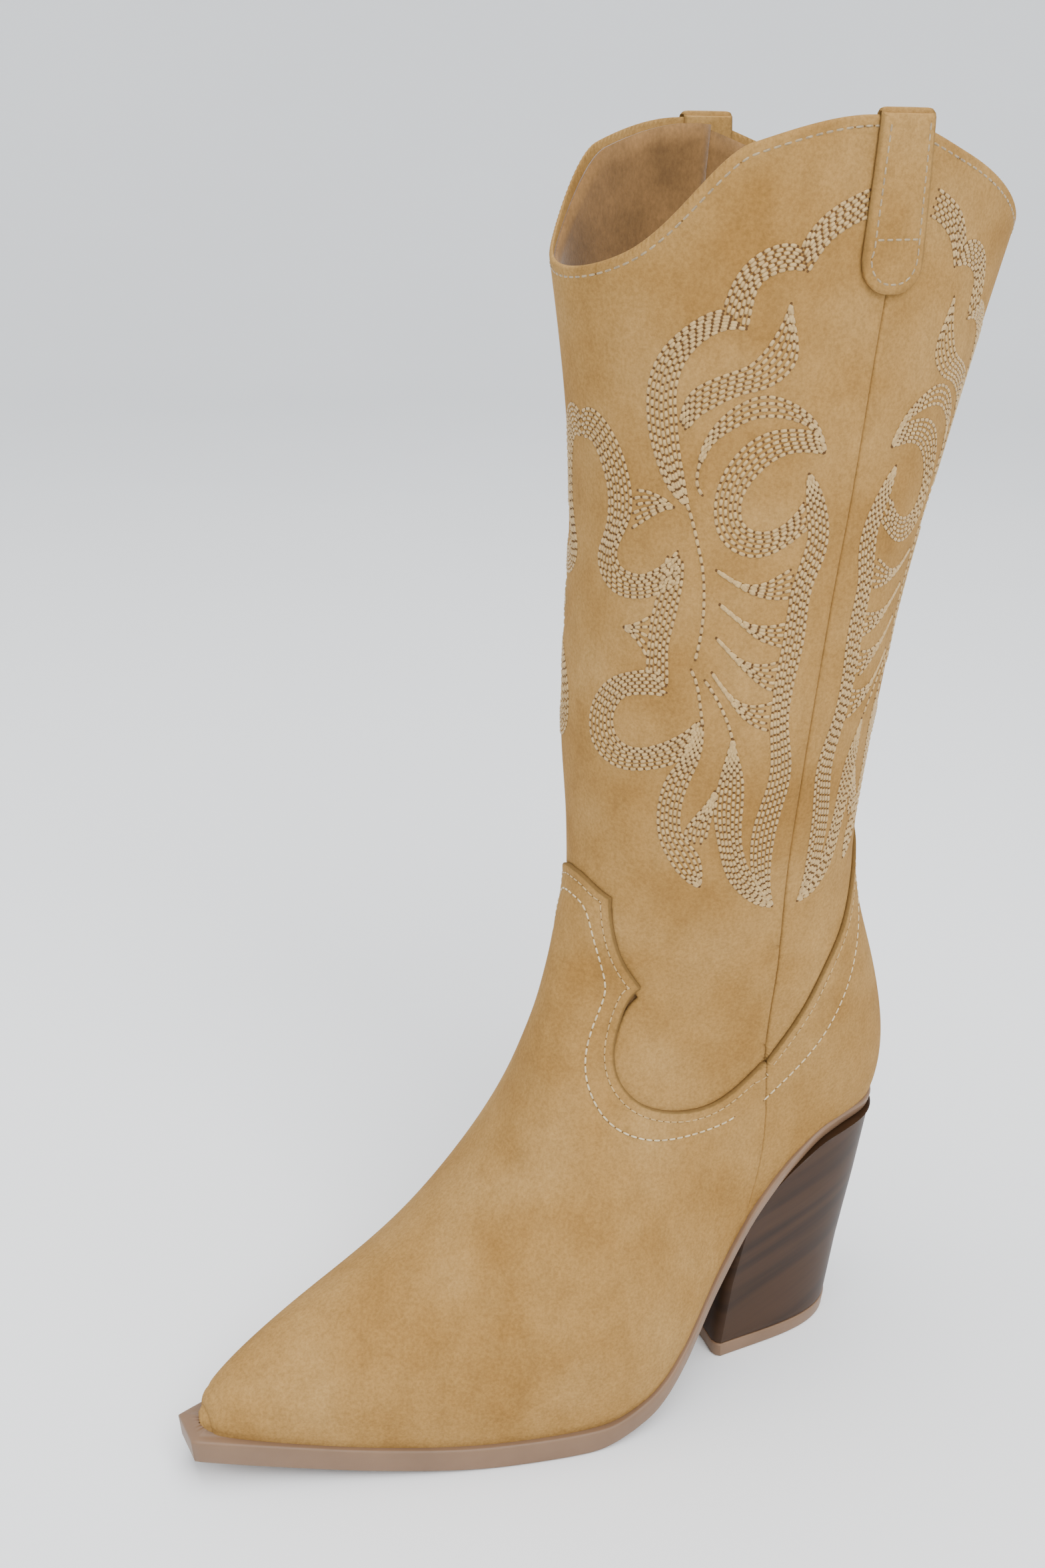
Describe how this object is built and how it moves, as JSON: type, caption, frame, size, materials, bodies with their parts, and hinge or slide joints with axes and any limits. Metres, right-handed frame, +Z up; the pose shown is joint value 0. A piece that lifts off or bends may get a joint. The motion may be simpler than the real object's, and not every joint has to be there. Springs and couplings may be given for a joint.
{
  "type": "cowboy boot",
  "caption": "Left western boot with pointed snip toe, high slanted block heel, scalloped top, stitched shaft, pull straps and an inside zip.",
  "frame": {"origin": "centre of the bounding box in plan, at the ground", "axes": "+X towards the toe, +Y towards the wearer's left (the outer side), +Z up"},
  "size_m": [0.2794, 0.1072, 0.4145],
  "materials": {
    "suede": "tan faux suede, soft nap",
    "lining": "brown microfibre",
    "stiffener": "thermoplastic sheet",
    "sole_rubber": "rosy brown, satin",
    "heel_stack": "dark stacked look, satin",
    "board": "pressed fibre board",
    "steel": "plain",
    "zip_tape": "woven tape",
    "zip_coil": "nylon coil",
    "zip_metal": "antique brass"
  },
  "bodies": {
    "boot": {"outsole": "sole_rubber", "heel_block": "heel_stack", "heel_top_lift": "sole_rubber", "insole_board": "board", "shank": "steel", "bottom_filler": "board", "sock_lining": "lining", "vamp": "suede", "heel_counter_cover": "suede", "shaft_front": "suede", "shaft_back": "suede", "vamp_lining": "lining", "heel_lining": "lining", "shaft_lining_front": "lining", "shaft_lining_back": "lining", "toe_puff": "stiffener", "counter_stiffener": "stiffener", "pull_strap_lateral": "suede", "pull_strap_medial": "suede", "zip_tape_front": "zip_tape", "zip_tape_back": "zip_tape", "zip_coil_front": "zip_coil", "zip_coil_back": "zip_coil", "zip_top_stops": "zip_metal", "zip_bottom_stop": "zip_metal", "zip_guard_flap": "lining", "heel_screw": "steel", "heel_nails": "steel", "top_lift_pins": "steel"},
    "zip_slider": {"zip_slider": "zip_metal"},
    "zip_pull": {"zip_pull": "zip_metal"}
  },
  "joints": [
    {"name": "zip_run", "type": "hinge", "parent": "boot", "child": "zip_slider", "pos_m": [-0.05725, 0.9704, 0.31838], "axis": [-0.9998, 0, -0.0204], "range_deg": [-11.38, 0]},
    {"name": "zip_pull_swing", "type": "hinge", "parent": "zip_slider", "child": "zip_pull", "pos_m": [-0.05762, -0.05214, 0.33666], "axis": [-0.9998, 0, -0.0204], "range_deg": [0, 165]}
  ]
}
